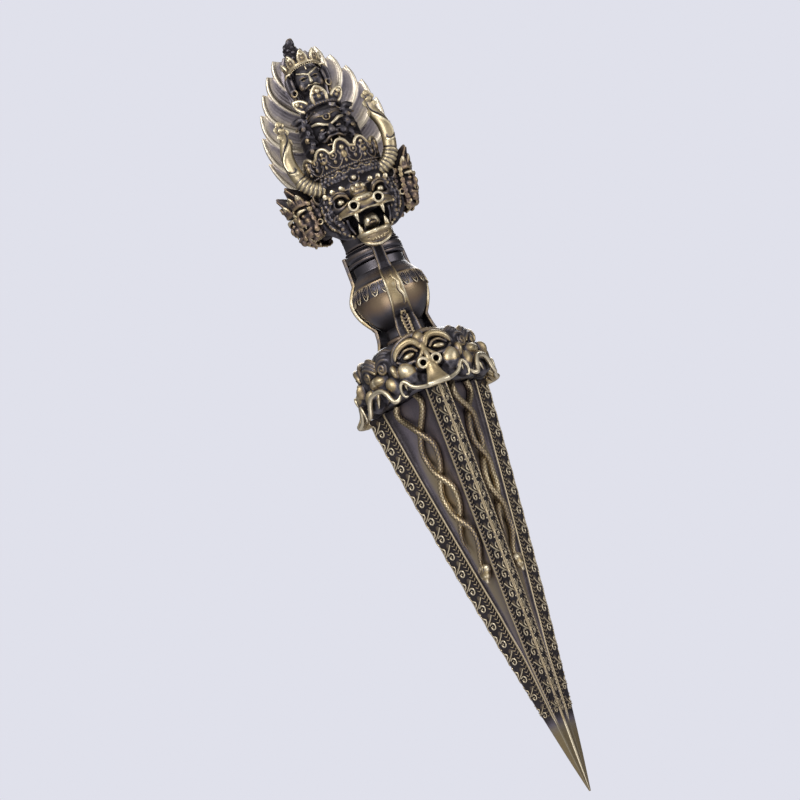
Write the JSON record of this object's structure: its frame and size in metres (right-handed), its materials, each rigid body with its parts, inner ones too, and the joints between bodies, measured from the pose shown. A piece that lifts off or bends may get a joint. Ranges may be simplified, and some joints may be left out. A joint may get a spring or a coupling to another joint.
{
  "type": "phurba",
  "caption": "Three-edged ritual dagger in antique brass: scroll-bordered blade with entwined snakes, monster-mask collar, vase grip with prongs, and a bull head under flames.",
  "frame": {"origin": "the point of the blade, on the long axis", "axes": "+Z along the axis from the point to the head, the bull's face and the front blade edge towards -Y, +X to the viewer's right"},
  "size_m": [0.045, 0.0441, 0.23],
  "materials": {
    "blade_brass": "cast brass with dark patina on the plain faces and rubbed bright scrolls",
    "dark_brass": "satin, blackened patina",
    "worn_brass": "antique brass, bright on the raised parts and dark in the hollows",
    "rod_steel": "plain drawn rod"
  },
  "bodies": {
    "root": {"blade": "blade_brass", "snakes_left": "worn_brass", "snakes_right": "worn_brass", "snakes_back": "worn_brass", "collar_core": "dark_brass", "mask_front": "worn_brass", "mask_left": "worn_brass", "mask_right": "worn_brass", "stem": "dark_brass", "grip_vase": "dark_brass", "neck_rings": "dark_brass", "upper_neck": "dark_brass", "tie_rod": "rod_steel", "prong_front": "worn_brass", "prong_left": "worn_brass", "prong_right": "worn_brass", "head_core": "dark_brass", "bull_head": "worn_brass", "bull_jaw": "worn_brass", "bull_tongue": "worn_brass", "horn_left": "worn_brass", "horn_right": "worn_brass", "bull_crown": "worn_brass", "side_head_left_1": "worn_brass", "side_head_left_2": "worn_brass", "side_head_left_3": "worn_brass", "side_head_right_1": "worn_brass", "side_head_right_2": "worn_brass", "side_head_right_3": "worn_brass", "hair_back": "dark_brass", "middle_head": "dark_brass", "middle_crown": "worn_brass", "top_head": "worn_brass", "top_crown": "worn_brass", "topknot": "dark_brass", "flame_plate": "dark_brass", "plate_rivets": "worn_brass"}
  },
  "joints": []
}
